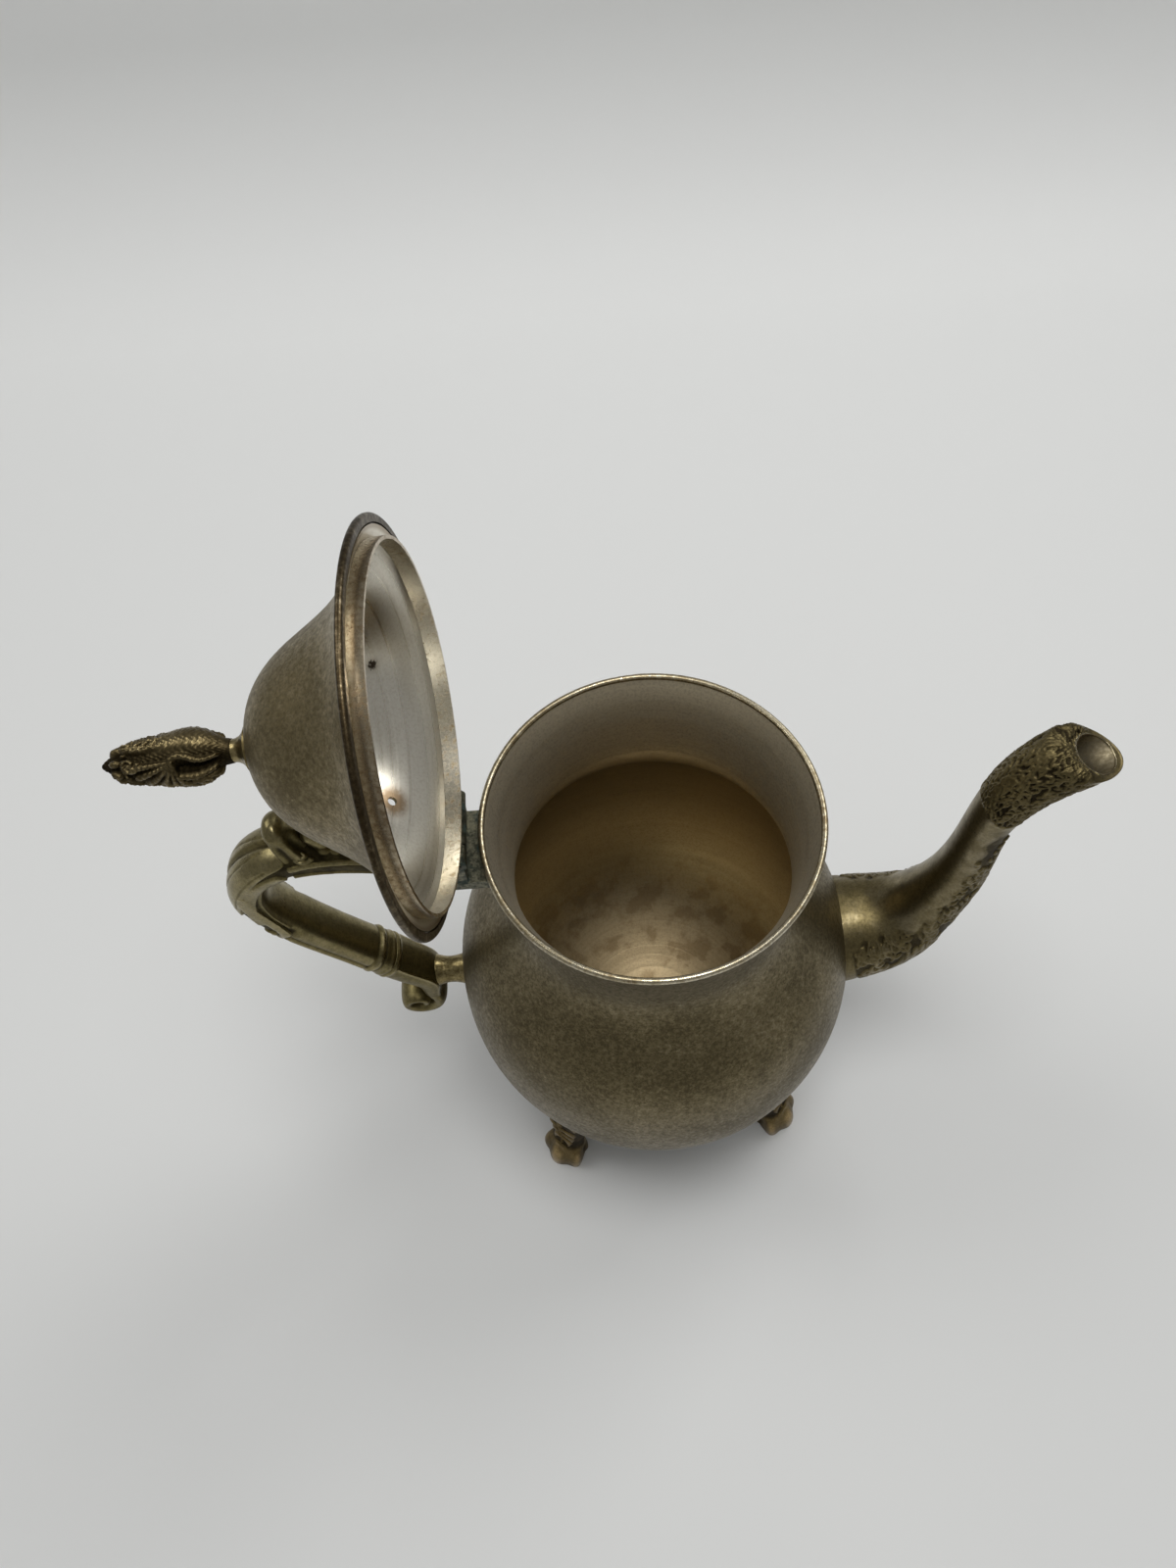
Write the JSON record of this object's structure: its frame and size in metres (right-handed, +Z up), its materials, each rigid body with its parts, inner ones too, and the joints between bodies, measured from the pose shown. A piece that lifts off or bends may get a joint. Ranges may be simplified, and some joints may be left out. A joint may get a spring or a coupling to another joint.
{
  "type": "teapot",
  "caption": "Pear-shaped silver-plated teapot on leaf feet, with a swan-neck spout, scroll handle and hinged bell lid standing open.",
  "frame": {"origin": "on the table, under the axis of the round body", "axes": "+Z up, +X towards the spout, the handle and hinge at -X, +Y to the left of someone looking from handle to spout"},
  "size_m": [0.2279, 0.1144, 0.2609],
  "materials": {
    "tarnished_plate": "silver plate on brass, dulled and mottled by tarnish",
    "bright_plate": "silver plate on brass, worn bright",
    "cast_plate": "cast brass with worn plate and dark recesses",
    "hinge_brass": "darkened brass with a trace of verdigris"
  },
  "bodies": {
    "pot": {"pot_body": "tarnished_plate", "base_disc": "tarnished_plate", "mouth_rim": "bright_plate", "spout": "cast_plate", "hinge_bracket": "hinge_brass", "hinge_pot_leaf": "hinge_brass", "hinge_pin": "hinge_brass", "handle_grip": "cast_plate", "handle_lower_scroll": "cast_plate", "handle_peg": "cast_plate", "foot_spout_left": "cast_plate", "foot_spout_right": "cast_plate", "foot_handle_left": "cast_plate", "foot_handle_right": "cast_plate"},
    "lid": {"lid_shell": "tarnished_plate", "lid_rim": "tarnished_plate", "lid_bezel": "bright_plate", "hinge_lid_leaf": "hinge_brass", "finial_base": "cast_plate", "finial": "cast_plate", "finial_stud": "hinge_brass", "finial_washer": "hinge_brass", "finial_nut": "hinge_brass"}
  },
  "joints": [
    {"name": "lid_hinge", "type": "hinge", "parent": "pot", "child": "lid", "pos_m": [-0.0474, 0, 0.1689], "axis": [0, 1, 0], "range_deg": [0, 95.2]}
  ]
}
